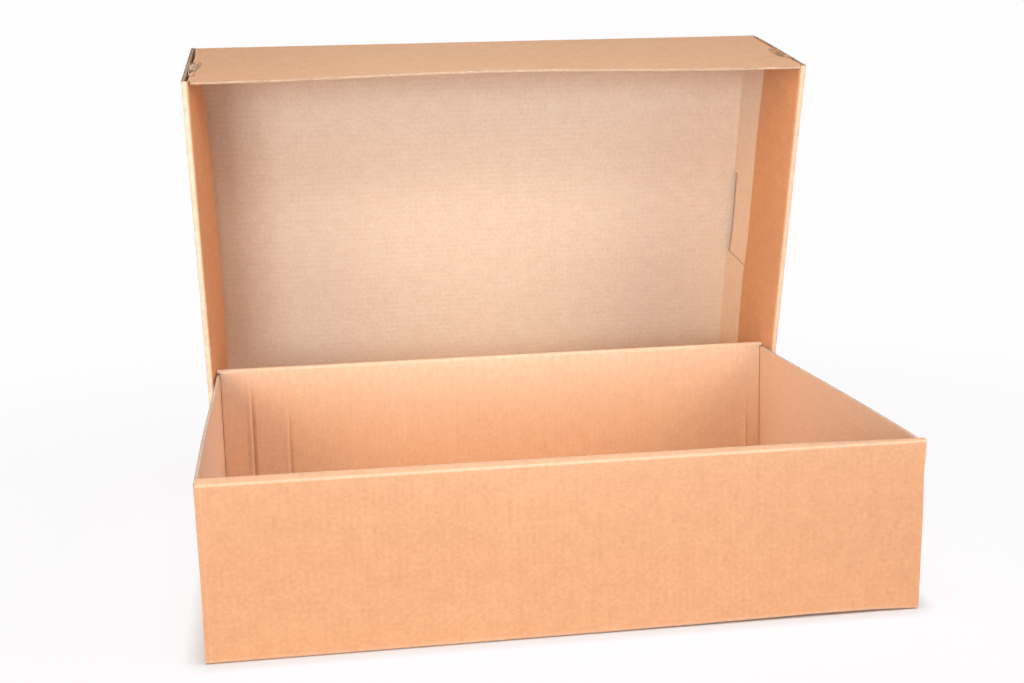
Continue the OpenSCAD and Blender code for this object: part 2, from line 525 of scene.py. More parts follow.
class Ridge(NamedTuple):
    """A ridge up the back wall's inner panel, over a hidden flap: its place, height, the strength of its
    pale crest, partly a painted highlight, and of the shade painted beside it, and the share of the wall's
    height at which it ends."""
    from_left: float
    height: float
    fade: float
    top: float

    def profile(self, x):
        """A slow rise from the left to 1, and a sharp fall to the right of it into a shallow groove."""
        past_crest = x + BASE_LENGTH / 2 - self.from_left
        places = (-RIDGE_RISE, 0.0, RIDGE_FALL, 2 * RIDGE_FALL, 4 * RIDGE_FALL)
        return np.interp(past_crest, places, (0.0, 1.0, -RIDGE_GROOVE, -RIDGE_GROOVE, 0.0))

    def marked(self, x):
        """A pale crest, partly scuffed and partly a painted highlight, and painted shade in the groove to
        its right.
        """
        profile = self.profile(x)
        return np.where(profile > 0, profile ** 2, RIDGE_SHADE * profile / RIDGE_GROOVE)

    def strength(self, up):
        return limited((self.top - up) / RIDGE_RUN_OUT)

    def stops(self):
        crest = -BASE_LENGTH / 2 + self.from_left
        past = [-RIDGE_RISE, -RIDGE_RISE / 2, -RIDGE_TIP, 0, RIDGE_FALL, 2 * RIDGE_FALL, 4 * RIDGE_FALL]
        return [crest + p for p in past]


RIDGES = (
    Ridge(0.0355, 0.0034, 0.50, 0.90),
    Ridge(0.0765, 0.0022, 0.32, 0.72),
    Ridge(0.619, 0.0010, 0.15, 0.6),
)


def end_wall_belly(x, y, z):
    """How far the single end walls stand out along X, below their cut edges."""
    between_rolls = np.abs(y) < BASE_WIDTH / 2 - BOARD - LAYER_GAP / 2
    below_edge = z < BASE_HEIGHT - END_DROP + LAYER_GAP
    on_wall = between_rolls & below_edge & (np.abs(x) > BASE_LENGTH / 2 - WALL_DEPTH)
    bow = np.where(x > 0, BASE_RIGHT_BOW * hump(y, *RIGHT_BELLY), -BASE_LEFT_BOW * hump(y, *LEFT_BELLY))
    return np.where(on_wall, bow * limited(z / BASE_HEIGHT) ** BELLY_POWER, 0)


def warp_base(points, inner, flap):
    """Shape of the used base: end walls that belly out, a tucked and lifted foot, a sloping front roll,
    ridges over hidden flaps, a dent and a crease."""
    points = points.copy()
    x, y, z = np.moveaxis(points, -1, 0).copy()
    up = limited(z / BASE_HEIGHT)
    from_front = y + BASE_WIDTH / 2
    points[..., 0] += end_wall_belly(x, y, z) * (1 - inner - flap)
    towards_front = limited(1 - from_front / FOOT_TUCK_REACH)
    points[..., 0] -= RIGHT_FOOT_TUCK * (1 - up) * limited(2 * x / BASE_LENGTH) ** 2 * towards_front
    at_right_end = (x > BASE_LENGTH / 2 - 2 * BOARD) & (from_front < 2 * ROLL_T)
    points[..., 0] -= np.where(at_right_end, EDGE_DENT * hump(z, EDGE_DENT_HEIGHT, EDGE_DENT_HALF), 0)
    rise = np.interp(x, FRONT_ROLL_AT, FRONT_ROLL_RISE)
    tilt = (FRONT_ROLL_DIP + rise) * limited(from_front / ROLL_T) - FRONT_ROLL_DIP
    at_head = limited((z - BASE_HEIGHT + FRONT_ROLL_HEAD) / FRONT_ROLL_HEAD) ** 2
    points[..., 2] += np.where(from_front < FRONT_ROLL_REACH, tilt * at_head, 0)
    lift = np.interp(x, FOOT_LIFT_AT, FOOT_LIFT) * limited(1 - from_front / FOOT_LIFT_REACH)
    points[..., 2] += lift * (1 - up) ** 3
    crease = hump(x, LEFT_CREASE_X, LEFT_CREASE_HALF) * (from_front < BOARD + LAYER_GAP / 2)
    points[..., 1] += LEFT_CREASE_DEPTH * crease * (z > BOARD)
    on_back_panel = (inner > MOSTLY) & (y > 0) & (z > FLAP_AT + LAYER_GAP)
    for ridge in RIDGES:
        height = ridge.height * ridge.profile(x) * ridge.strength(up)
        points[..., 1] -= np.where(on_back_panel, height, 0)
    return points


def base_wear_and_painted_light(section, stops):
    """Fading of the base's liner: scuffed folds with a painted highlight, painted light beside rolled
    tops, painted highlight and shade on ridges, and a scuffed crease.
    """
    places = np.array(section.places)
    fade = np.maximum(section.worn(BASE_WEAR_AND_HIGHLIGHT), section.rubbed(BASE_TOP_PAINTED_LIGHT))[:, None]
    on_front = places[:, 0] < -BASE_WIDTH / 2 + BOARD
    fade = fade + np.outer(on_front, LEFT_CREASE_WEAR * hump(stops, LEFT_CREASE_X, LEFT_CREASE_HALF))
    up = limited(places[:, 1] / BASE_HEIGHT)
    on_back = (section.looseness()[0] > MOSTLY) & (places[:, 0] > 0)
    for ridge in RIDGES:
        fade = fade + ridge.fade * np.outer(on_back * ridge.strength(up), ridge.marked(stops))
    return fade


def make_base(materials):
    sheet = SheetMesh()
    foot = FLAP_AT - TAB_SLACK
    half_tab = FLOOR_TAB / 2
    tabs = [side * FLOOR_TAB_SPACING / 2 for side in (-1, 1)]
    slot_near = INNER_PANEL_AT - TAB_SLACK - HALF - FOLD_R
    slot_far = slot_near + BOARD + 2 * TAB_SLACK
    floor_span = BASE_WIDTH - 2 * HALF - 2 * FOLD_R
    floor_end = BASE_LENGTH / 2 - HALF - FOLD_R
    inner_end = BASE_LENGTH / 2 - FLAP_AT - BASE_INNER_GAP
    cover = BASE_HEIGHT - TAB_SLACK
    inner_length = cover - HALF - FOLD_R
    wall_head = BASE_HEIGHT - END_DROP

    def in_tab(stop, slack=0.0):
        return any(abs(stop - tab) < half_tab + slack for tab in tabs)

    def keep(panel, along, stop):
        if panel == "panel":
            in_slot = slot_near < min(along, floor_span - along) < slot_far
            return abs(stop) < floor_end and not (in_slot and in_tab(stop, TAB_SLACK))
        if panel.startswith("inner"):
            from_foot = along if panel == "inner far" else inner_length - along
            return abs(stop) < inner_end and (from_foot > foot or in_tab(stop))
        return True

    tab_sides = [side * (half_tab + slack) for side in (-1, 1) for slack in (0, TAB_SLACK)]
    marks = [tab + side for tab in tabs for side in tab_sides]
    marks += [-floor_end, floor_end, -inner_end, inner_end]
    marks += [stop for ridge in RIDGES for stop in ridge.stops()]
    marks += [LEFT_CREASE_X + side * LEFT_CREASE_HALF for side in (-1, 0, 1)]
    rolled_strip(sheet, BASE_LENGTH, BASE_WIDTH, BASE_HEIGHT, cover,
                 ([foot], [slot_near, slot_far], marks), keep, warp_base, base_wear_and_painted_light, BASE_ROLLED)
    for turn in (1, -1):
        single_strip(sheet, BASE_LENGTH, BASE_WIDTH, wall_head, (BASE_FLAP, BASE_FLAP), ((), ()),
                     keep_all, warp_base, wear_folds, turn, BASE_END)
    return sheet.to_object("base_tray_board", Matrix(), materials)


# Lid

# The mouth: the upper wall's bow and where it ends, and the flare to the sides and upwards
LID_TOP_BOW = 0.0045
TOP_BOW_MIDDLE = -0.01
TOP_BOW_ENDS = 0.03
MOUTH_FLARE_LEFT = 0.0035
MOUTH_FLARE_RIGHT = 0.0060
MOUTH_FLARE_REACH = 0.33
MOUTH_FLARE_UP = 0.0042
MOUTH_FLARE_UP_REACH = 0.25
ROLL_PINCH = 0.26
ROLL_PINCH_REACH = 0.025

# Gaps at the upper corners: how far the layers part there, and how far the right end wall's edge drops
CORNER_GAP_LEFT = 0.0026
CORNER_GAP_RIGHT = 0.0016
CORNER_REACH = 0.08
CORNER_EASE = 0.04
CORNER_DROP_RIGHT = 0.0009
CORNER_DROP_REACH = 0.03
CORNER_DROP_RUN = 0.02

# The upper ears: a dent round the right one, which has sunk, and the crumple of the left one
EAR_DENT = 0.0020
EAR_DENT_FROM_END = (0.010, 0.024)
EAR_DENT_HALF = 0.036
DENT_MARKS = (0.008, 0.016, 0.021, 0.028)
RIGHT_EAR_SUNK = 0.0085
RIGHT_EAR_OUT = 0.0016
LEFT_EAR_UP = 0.0012
LEFT_EAR_IN = 0.0010
LEFT_EAR_CRUMPLE_UP = 0.0010
LEFT_EAR_CRUMPLE_IN = 0.0012
LEFT_EAR_WAVES = ((1.0, 400, 830, 0.0), (0.7, 0, 1570, 1.0), (0.5, 2300, 500, 0.0))

# Painted shadow: a dark line along the stepped edge of the upper flaps, for the shade in the gap behind
# them, by the distance from the edge
STEP_SHADE = 0.70
STEP_SHADE_AT = (0.0, 0.0035, 0.0055)
STEP_SHADE_SHARE = (1.0, 0.9, 0.0)

# How far the loose layers of the end walls stand in, by the distance from the lid's upper side: the
# free edge of a rolled-over panel, a flap beside that edge, and a flap's foot at the panel
LEAN_AT = (0.0, 0.05, 0.10, 0.226, 0.257, 0.275, 0.35, 0.40, 0.44, 0.49)
LEFT_EDGE_LEAN = (0.0020, 0.0053, 0.0080, 0.0096, 0.0098, 0.0098, 0.0093, 0.0090, 0.0050, 0.0)
LEFT_FLAP_LEAN = (0.0, 0.0010, 0.0015, 0.0020, 0.0020, 0.0020, 0.0020, 0.0015, 0.0010, 0.0)
LEFT_FOOT_LEAN = (0.0010, 0.0030, 0.0035, 0.0040, 0.0040, 0.0040, 0.0040, 0.0030, 0.0020, 0.0)
RIGHT_EDGE_LEAN = (0.0, 0.0014, 0.0028, 0.0034, 0.0046, 0.0056, 0.0061, 0.0055, 0.0035, 0.0)
RIGHT_FLAP_LEAN = (0.0, 0.0010, 0.0024, 0.0030, 0.0042, 0.0052, 0.0057, 0.0050, 0.0030, 0.0)
RIGHT_FOOT_LEAN = (0.0015, 0.0060, 0.0065, 0.0078, 0.0082, 0.0105, 0.0115, 0.0118, 0.0070, 0.0)
HINGE_AT = (0.30, 0.36)
HINGE_DEPTH = (0.003, 0.036)


def warp_lid(points, inner, flap, rolled):
    """Shape of the used lid: its mouth flares at the top, its rolled edges are pinched, and the loose
    layers of its end walls stand off them. rolled is for points of the strip through the rolled walls."""
    points = points.copy()
    x, y, z = np.moveaxis(points, -1, 0).copy()
    side = np.sign(x)
    out = limited(z / LID_DEPTH)
    from_top = LID_WIDTH / 2 - y
    from_mouth = LID_DEPTH - z
    from_end = LID_LENGTH / 2 - np.abs(x)
    upper = from_top < WALL_DEPTH
    flare = np.where(x > 0, MOUTH_FLARE_RIGHT, MOUTH_FLARE_LEFT) * np.abs(x) / (LID_LENGTH / 2)
    points[..., 0] += side * flare * out * limited(1 - from_top / MOUTH_FLARE_REACH)
    points[..., 1] += MOUTH_FLARE_UP * out * limited(1 - from_top / MOUTH_FLARE_UP_REACH)
    bow = LID_TOP_BOW * hump(x, TOP_BOW_MIDDLE, LID_LENGTH / 2 - TOP_BOW_ENDS)
    points[..., 1] += np.where(upper, bow * out ** BELLY_POWER, 0)
    pinch = ROLL_PINCH * from_end * limited(1 - from_mouth / ROLL_PINCH_REACH)
    points[..., 0] += side * np.where(from_end < ROLL_T + LAYER_GAP, pinch, 0) * (1.0 if rolled else flap)

    def lean(left, right):
        return np.where(x < 0, np.interp(from_top, LEAN_AT, left), np.interp(from_top, LEAN_AT, right))

    hinge = np.interp(from_top, HINGE_AT, HINGE_DEPTH)
    turned = limited((from_mouth - hinge) / (LID_COVER - hinge))
    past_edge = limited((from_mouth - LID_COVER) / (LID_DEPTH - LID_COVER))
    flap_lean = lean(LEFT_FLAP_LEAN, RIGHT_FLAP_LEAN)
    foot_lean = lean(LEFT_FOOT_LEAN, RIGHT_FOOT_LEAN)
    points[..., 0] -= side * inner * lean(LEFT_EDGE_LEAN, RIGHT_EDGE_LEAN) * turned
    points[..., 0] -= side * flap * (flap_lean * turned + (foot_lean - flap_lean) * past_edge)
    open_corners(points, (x, z, from_top), inner, flap, rolled)
    if not rolled:
        ear_middle = LID_DEPTH - LID_COVER + EAR_SETBACK + EAR_LENGTH / 2
        dent = EAR_DENT * hump(from_end, *EAR_DENT_FROM_END) * hump(z, ear_middle, EAR_DENT_HALF)
        points[..., 1] -= np.where(upper & (x > 0), dent, 0)
    crush_ears(points, y, z, inner)
    return points


def open_corners(points, at, inner, flap, rolled):
    """Parts the layers at the lid's upper corners, given their places before: x, z and from_top."""
    x, z, from_top = at
    from_mouth = LID_DEPTH - z
    from_end = LID_LENGTH / 2 - np.abs(x)
    gap = np.where(x > 0, CORNER_GAP_RIGHT, CORNER_GAP_LEFT) * limited(1 - from_top / CORNER_REACH)
    if rolled:
        right_outer = (x > 0) & (from_end < BOARD + LAYER_GAP / 2)
        opened = gap * np.sin(limited(z / LID_DEPTH) * math.pi) ** 0.5
        points[..., 0] += np.where(right_outer, opened, 0)
        points[..., 0] += np.where(x < 0, gap * inner * limited(from_mouth / ROLL_PINCH_REACH), 0)
        drop = CORNER_DROP_RIGHT * limited(1 - from_top / CORNER_DROP_REACH)
        points[..., 1] -= np.where(right_outer, drop * limited(from_mouth / CORNER_DROP_RUN), 0)
    else:
        beside_corner = limited(1 - (from_end - FLAP_AT) / CORNER_EASE) * (from_top < WALL_DEPTH)
        gap = gap * np.maximum(flap, beside_corner) * limited(z / CORNER_EASE)
        points[..., 0] += np.where(x < 0, gap, 0)


def waves(rows, first, second=0.0, seed=1.0, wave=np.sin):
    """A sum of waves over two directions. A row has its strength, its radians per metre along both, and
    its phase for a seed of 1."""
    return sum(row[0] * wave(row[1] * first + row[2] * second + row[3] * seed) for row in rows)


def crush_ears(points, y, z, inner):
    """The upper ears: the left one is crushed over the corner, the right one has sunk into its slot."""
    out = limited((y - LID_WIDTH / 2 + FLAP_AT) / FLAP_AT) * (inner > MOSTLY)
    out = out * (np.abs(points[..., 0]) < LID_LENGTH / 2 - FLAP_AT)
    crumple = waves(LEFT_EAR_WAVES, y, z)
    left = points[..., 0] < 0
    points[..., 1] += out * np.where(left, LEFT_EAR_UP + LEFT_EAR_CRUMPLE_UP * crumple, -RIGHT_EAR_SUNK)
    points[..., 0] += out * np.where(left, LEFT_EAR_IN + LEFT_EAR_CRUMPLE_IN * crumple, RIGHT_EAR_OUT)


def make_lid(materials):
    sheet = SheetMesh()
    ear_low = LID_DEPTH - LID_COVER + EAR_SETBACK
    ear_high = ear_low + EAR_LENGTH
    inner_end = LID_WIDTH / 2 - FLAP_AT - LID_INNER_GAP
    panel_end = LID_WIDTH / 2 - HALF - FOLD_R
    flap_head = LID_DEPTH - BOARD - LAYER_GAP
    step_head = HALF + FOLD_R + FLAP_STEP
    inner_length = LID_COVER - HALF - FOLD_R
    slot_reach = INNER_PANEL_AT + BOARD + TAB_SLACK - FLAP_MID - FOLD_R
    wall_span = LID_LENGTH - 2 * FLAP_MID - 2 * FOLD_R
    lower_flap = LID_WIDTH - 2 * BOARD - LID_UPPER_FLAP - FLAP_CUT

    def keep(panel, along, stop):
        if panel == "panel":
            return abs(stop) < panel_end
        if panel.startswith("inner"):
            from_edge = along if panel == "inner far" else inner_length - along
            in_ear = EAR_SETBACK < from_edge < EAR_SETBACK + EAR_LENGTH
            return abs(stop) < inner_end or in_ear
        return True

    ear_marks = list(np.linspace(EAR_SETBACK, EAR_SETBACK + EAR_LENGTH, EAR_STEPS + 1))
    stop_marks = [-panel_end, panel_end, -inner_end, inner_end]
    rolled_strip(sheet, LID_WIDTH, LID_LENGTH, LID_DEPTH, LID_COVER,
                 (ear_marks, (), stop_marks), keep, warp_rolled, lid_wear_and_highlight, LID_ROLLED)

    def in_slot(panel, along, z, reaches):
        if not ear_low - TAB_SLACK < z < ear_high + TAB_SLACK:
            return False
        beside_bend = panel == "wall" and (along < reaches[0] or wall_span - along < reaches[1])
        return beside_bend or panel.startswith("fold")

    def keep_wall(stepped):
        reaches = (slot_reach - EAR_TUCK, slot_reach + EAR_TEAR) if stepped else (slot_reach, slot_reach)

        def keep_cell(panel, along, z):
            if in_slot(panel, along, z, reaches):
                return False
            if panel == "wall":
                return True
            if z > flap_head:
                return False
            if panel.startswith("flap") and stepped:
                from_bend = LID_UPPER_FLAP - along if panel == "flap far" else along
                return from_bend < FLAP_STEP_AT or z > step_head
            return True
        return keep_cell

    depth_marks = [flap_head, step_head, ear_low - TAB_SLACK, ear_high + TAB_SLACK]
    near_corner = [slot_reach - EAR_TUCK, slot_reach, slot_reach + EAR_TEAR, *DENT_MARKS]
    wall_marks = [*near_corner, *[wall_span - m for m in near_corner]]
    for turn, flap, scuffs_and_painted_light in ((-1, LID_UPPER_FLAP, upper_wear_and_painted_shade), (1, lower_flap, wear_folds)):
        single_strip(sheet, LID_WIDTH, LID_LENGTH, LID_DEPTH, (flap, flap), (wall_marks, depth_marks),
                     keep_wall(turn < 0), warp_single, scuffs_and_painted_light, turn, LID_MOUTH)
    for flake in FLAKES:
        add_flake(sheet, flake, (ear_low + ear_high) / 2)
    stand = Matrix.Translation((0, LID_FOOT_Y, 0)) @ Matrix.Rotation(math.pi / 2 + LID_LEAN, 4, "X")
    stand = stand @ Matrix.Translation((0, LID_WIDTH / 2, -LID_DEPTH))
    return sheet.to_object("lid_board", stand, materials)


def lengthwise(points):
    """A tray's run and cross directions, turned so that the rolled walls lie at the two ends."""
    return np.stack([points[..., 1], -points[..., 0], points[..., 2]], -1)


def warp_rolled(points, inner, flap):
    return warp_lid(lengthwise(points), inner, flap, True)


def warp_single(points, inner, flap):
    return warp_lid(lengthwise(points), inner, flap, False)


def lid_wear_and_highlight(section, stops):
    # Scuffed folds, and a painted highlight on the rolled edges
    return section.worn(LID_WEAR_AND_HIGHLIGHT)[:, None]


def upper_wear_and_painted_shade(section, stops):
    """Fading of the lid's upper wall and its flaps at folds, and painted shadow along the flaps' stepped
    edges, for the shaded gap behind them.
    """
    lengths = np.array(section.lengths)
    from_end = np.minimum(lengths, lengths[-1] - lengths)
    past_step = from_end < LID_UPPER_FLAP - FLAP_STEP_AT + SAME_PLACE
    shade = np.interp(stops - HALF - FOLD_R - FLAP_STEP, STEP_SHADE_AT, STEP_SHADE_SHARE)
    return wear_folds(section, stops) - STEP_SHADE * np.outer(past_step, shade)


class Flake(NamedTuple):
    """A flake of torn board at an upper ear: its side, its distances from the lid's end, above the wall
    and past the ear's middle, its size, how it is crumpled, its finish and its tilt to the right."""
    side: int
    from_end: float
    above: float
    past_middle: float
    width: float
    length: float
    crumple: float
    seed: float
    finish: Finish
    tilt: float = 0.0


# The crushed left ear with a brown flake in the dent beside it, the sunk right one, and torn bits beside
# both.
# The two brown flakes are darkened as painted shade.
FLAKES = (
    Flake(-1, 0.0092, -0.0014, 0.0, 0.0095, 0.0506, 0.0003, 3.1, TORN_LINER_PAINTED_SHADE),
    Flake(-1, 0.0058, 0.0006, 0.012, 0.0084, 0.0418, 0.0020, 0.4, TORN_FIBRE),
    Flake(-1, 0.0050, 0.0012, 0.017, 0.0056, 0.0264, 0.0020, 2.1, TORN_FIBRE),
    Flake(-1, 0.0062, 0.0006, 0.043, 0.0070, 0.0150, 0.0007, 4.0, TORN_PALE),
    Flake(1, 0.0072, -0.0015, 0.003, 0.0165, 0.06688, 0.0005, 1.3, TORN_DEEP_PAINTED_SHADE, 0.12),
    Flake(1, 0.0055, 0.0010, 0.026, 0.0055, 0.0090, 0.0010, 5.3, TORN_PALE),
)
FLAKE_STEP = 0.0010
FLAKE_THIN = 0.2
FLAKE_SHEET_AT = (7.0, 5.0)
# Crumple of a flake sideways and upwards, by x and z
FLAKE_SWAY = ((0.3, 1000, 1300, -7.3),)
FLAKE_ROUGH = ((0.7, 2000, 200, 12.8), (0.35, 1100, 800, -1.1), (0.2, 0, 1900, -20.9))
# Ragged outline of a flake: shares of its half width and half length, and how they waver
RAGGED_WIDTH = 0.85
RAGGED_SIDES = ((0.12, 900, 0, 1.0), (0.10, 2300, 0, 3.0))
RAGGED_LENGTH = 0.88
RAGGED_ENDS = ((0.12, 1500, 0, 1.0),)


def add_flake(sheet, flake, ear_middle):
    section = Section((-flake.width / 2, 0), (1, 0))
    section.panel("flake", flake.width, np.arange(FLAKE_STEP, flake.width, FLAKE_STEP))
    stops = np.arange(-flake.length / 2, flake.length / 2 + FLAKE_STEP / 2, FLAKE_STEP)
    middle_x = flake.side * (LID_LENGTH / 2 - flake.from_end)
    middle_y = LID_WIDTH / 2 + flake.above
    middle_z = ear_middle + flake.past_middle
    seed = flake.seed

    def to_tray(flat, stop):
        rise = FLAKE_THIN * flat[..., 1] + flake.tilt * flat[..., 0]
        return np.stack([middle_x + flat[..., 0], middle_y + rise, middle_z + stop], -1)

    def warp(points, inner, flap):
        x, z = points[..., 0], points[..., 2]
        sway = waves(FLAKE_SWAY, x, z, seed, np.cos)
        rough = waves(FLAKE_ROUGH, x, z, seed)
        points = points + flake.crumple * np.stack([sway, rough, 0 * x], -1)
        return warp_lid(points, inner, flap, False)

    def keep(panel, along, stop):
        """Whether a cell is inside the flake's ragged outline."""
        width = RAGGED_WIDTH + waves(RAGGED_SIDES, stop, seed=seed)
        length = RAGGED_LENGTH + waves(RAGGED_ENDS, along, seed=seed)
        in_width = abs(along / flake.width - 0.5) * 2 < width
        return in_width and abs(stop) / (flake.length / 2) < length

    sheet_at = (FLAKE_SHEET_AT[0] + seed, FLAKE_SHEET_AT[1])
    sheet.strip(section, stops, to_tray, keep, warp, sheet_at, flake.finish.pale, flake.finish)


# Materials

class Grain(NamedTuple):
    """A layer of noise on the flat sheet: its waves per metre across and along the flutes, its detail and
    roughness, and its strength in a liner's tone."""
    across: float
    along: float
    detail: float = 2.0
    roughness: float = 0.5
    tone: float = 0.0


# Kraft paper
CLOUD = Grain(7, 5, 3, tone=0.40)
BLOTCH = Grain(75, 55, tone=0.45)
MOTTLE = Grain(240, 280, 3, 0.6, tone=0.85)
FIBRE = Grain(520, 1300, tone=0.55)
PAPER_ROUGHNESS = 0.82
PAPER_SHINE = 0.25
BUMP_DEPTH = 0.0002
BUMP_STRENGTH = 0.35
# Flutes that show through: how they wander and come and go
FLUTE_WANDER = Grain(30, 2, 1)
FLUTE_WANDER_PHASE = 1.2
FLUTE_FADE = Grain(9, 4)
FLUTE_FADE_MEAN = 0.6
# Dark specks, where the noise passes the level
SPECK = Grain(260, 520, 2, 0.7)
SPECK_LEVEL = 0.255
SPECK_SHARE = 0.35
SPECK_TINT = 0.45
# The fading is uneven, and less than 0 is painted shade, a darker tint
WEAR_AND_LIGHT_GRAIN = Grain(160, 90, 3)
PAINTED_SHADE_TINT = 0.35
# A cut edge's fibres, patches and fresh places
EDGE_FIBRE = Grain(900, 300, 3, 0.6)
EDGE_PATCH = Grain(60, 40)
EDGE_FRESH = Grain(300, 300)
EDGE_ROUGHNESS = 0.95
EDGE_SHINE = 0.1
# Sets the noise on a sheet's two sides apart
SIDES_APART = 7.0

# Linear colours: the dark and light tones of each liner, and single tones
OUTER_KRAFT = ((0.62, 0.305, 0.158), (0.78, 0.43, 0.24))
BASE_KRAFT = ((0.79, 0.54, 0.40), (0.89, 0.66, 0.505))
LID_KRAFT = ((0.80, 0.60, 0.47), (0.90, 0.732, 0.595))
# Pale tint of scuffed folds and of painted highlight and light
WEAR_AND_HIGHLIGHT_TINT = (0.96, 0.82, 0.65)
CUT_DARK = (0.26, 0.14, 0.08)
CUT_LIGHT = (0.70, 0.49, 0.335)
CUT_PALE = (0.90, 0.70, 0.56)


class Nodes:
    """Short calls for building one material's node tree."""

    def __init__(self, name):
        self.material = bpy.data.materials.new(name)
        self.material.use_nodes = True
        self.tree = self.material.node_tree
        self.shader = self.tree.nodes["Principled BSDF"]
        self.sheet = self.attribute("sheet", "Vector")

    def add(self, kind, operation=None):
        node = self.tree.nodes.new(kind)
        if operation:
            node.operation = operation
        return node

    def link(self, source, target):
        """Links a socket to an input, or gives the input a value."""
        if isinstance(source, bpy.types.NodeSocket):
            self.tree.links.new(source, target)
        else:
            target.default_value = source

    def attribute(self, name, output):
        node = self.add("ShaderNodeAttribute")
        node.attribute_name = name
        return node.outputs[output]

    def math(self, operation, *values):
        node = self.add("ShaderNodeMath", operation)
        for value, socket in zip(values, node.inputs):
            self.link(value, socket)
        return node.outputs[0]

    def noise(self, grain):
        """Noise on the flat sheet, centred on 0."""
        scaled = self.add("ShaderNodeVectorMath", "MULTIPLY")
        self.link(self.sheet, scaled.inputs[0])
        self.link((grain.across, grain.along, SIDES_APART), scaled.inputs[1])
        node = self.add("ShaderNodeTexNoise")
        self.link(scaled.outputs[0], node.inputs["Vector"])
        self.link(1.0, node.inputs["Scale"])
        self.link(grain.detail, node.inputs["Detail"])
        self.link(grain.roughness, node.inputs["Roughness"])
        return self.math("SUBTRACT", node.outputs["Fac"], 0.5)

    def worn(self, grain):
        """The fading that the sheet's vertices carry, made uneven."""
        uneven = self.math("ADD", self.noise(grain), 1.0)
        return self.math("MULTIPLY", self.attribute("worn", "Fac"), uneven)

    def mix(self, factor, dark, light):
        """A mix of two colours, given as sockets or as linear red, green and blue."""
        node = self.add("ShaderNodeMix")
        node.data_type = "RGBA"
        self.link(factor, node.inputs["Factor"])
        colour_sockets = [socket for socket in node.inputs if socket.type == "RGBA"]
        for value, socket in zip((dark, light), colour_sockets):
            self.link(value if isinstance(value, bpy.types.NodeSocket) else (*value, 1), socket)
        return next(socket for socket in node.outputs if socket.type == "RGBA")

    def surface(self, colour, roughness, shine):
        self.link(colour, self.shader.inputs["Base Color"])
        self.link(roughness, self.shader.inputs["Roughness"])
        self.link(shine, self.shader.inputs["Specular IOR Level"])


def darker(colour, share):
    return tuple(c * share for c in colour)


def liner_material(name, dark, light, flute_contrast, grain):
    """Kraft liner: cloudy and mottled, with fibres along its grain and the flutes showing through."""
    nodes = Nodes(name)
    split = nodes.add("ShaderNodeSeparateXYZ")
    nodes.link(nodes.sheet, split.inputs[0])
    phase = nodes.math("MULTIPLY", split.outputs[0], 2 * math.pi / FLUTE_PITCH)
    wander = nodes.math("MULTIPLY", nodes.noise(FLUTE_WANDER), FLUTE_WANDER_PHASE)
    wave = nodes.math("COSINE", nodes.math("ADD", phase, wander))
    fade = nodes.math("ADD", nodes.noise(FLUTE_FADE), FLUTE_FADE_MEAN)
    flutes = nodes.math("MULTIPLY", nodes.math("MULTIPLY", wave, fade), flute_contrast)
    tone = nodes.math("ADD", flutes, 0.5)
    mottle = nodes.noise(MOTTLE)
    fibre = nodes.noise(FIBRE)
    layers = ((nodes.noise(CLOUD), CLOUD.tone), (nodes.noise(BLOTCH), BLOTCH.tone * grain),
              (mottle, MOTTLE.tone * grain), (fibre, FIBRE.tone * grain))
    for layer, strength in layers:
        tone = nodes.math("ADD", tone, nodes.math("MULTIPLY", layer, strength))
    colour = nodes.mix(tone, dark, light)
    speck = nodes.math("GREATER_THAN", nodes.noise(SPECK), SPECK_LEVEL)
    colour = nodes.mix(nodes.math("MULTIPLY", speck, SPECK_SHARE), colour, darker(dark, SPECK_TINT))
    # Towards the pale tint with scuffing and painted highlight and light, and darker with painted shade
    # below 0
    worn = nodes.worn(WEAR_AND_LIGHT_GRAIN)
    colour = nodes.mix(worn, colour, WEAR_AND_HIGHLIGHT_TINT)
    colour = nodes.mix(nodes.math("MULTIPLY", worn, -1.0), colour, darker(dark, PAINTED_SHADE_TINT))
    nodes.surface(colour, PAPER_ROUGHNESS, PAPER_SHINE)
    bump = nodes.add("ShaderNodeBump")
    nodes.link(BUMP_STRENGTH, bump.inputs["Strength"])
    nodes.link(BUMP_DEPTH, bump.inputs["Distance"])
    nodes.link(nodes.math("ADD", fibre, mottle), bump.inputs["Height"])
    nodes.link(bump.outputs[0], nodes.shader.inputs["Normal"])
    return nodes.material


def edge_material(name):
    """Cut or torn edge of the board: fibres from dark to light, paler where the edge is fresh."""
    nodes = Nodes(name)
    torn = nodes.math("ADD", nodes.noise(EDGE_FIBRE), nodes.noise(EDGE_PATCH))
    colour = nodes.mix(nodes.math("ADD", torn, 0.5), CUT_DARK, CUT_LIGHT)
    colour = nodes.mix(nodes.worn(EDGE_FRESH), colour, CUT_PALE)
    nodes.surface(colour, EDGE_ROUGHNESS, EDGE_SHINE)
    return nodes.material


outer = liner_material("outer_kraft_liner", *OUTER_KRAFT, flute_contrast=0.05, grain=1.25)
base_inner = liner_material("base_inner_liner", *BASE_KRAFT, flute_contrast=0.13, grain=1.4)
lid_inner = liner_material("lid_inner_liner", *LID_KRAFT, flute_contrast=0.13, grain=2.1)
cut = edge_material("cut_board_edge")

base = make_base([outer, base_inner, cut])
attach(base, "root")
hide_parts("base_tray")

lid = make_lid([outer, lid_inner, cut])
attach(lid, "root")
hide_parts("lid")


# Stage

FLOOR_SIZE = 40.0
FLOOR_ALBEDO = (0.86, 0.85, 0.86)
FLOOR_ROUGHNESS = 0.9
BACKGROUND = (1.0, 0.985, 0.995)
# Share of the plain background in what the camera sees of the floor near the object, and the distances
# from the origin over which it grows to all of it
FLOOR_SHOW = 0.90
FLOOR_FADE = (0.5, 1.3)
# Contact shadow: its reach round the object's foot, and how far the background is dimmed there
CONTACT_REACH = 0.022
CONTACT_SHADE = 0.5


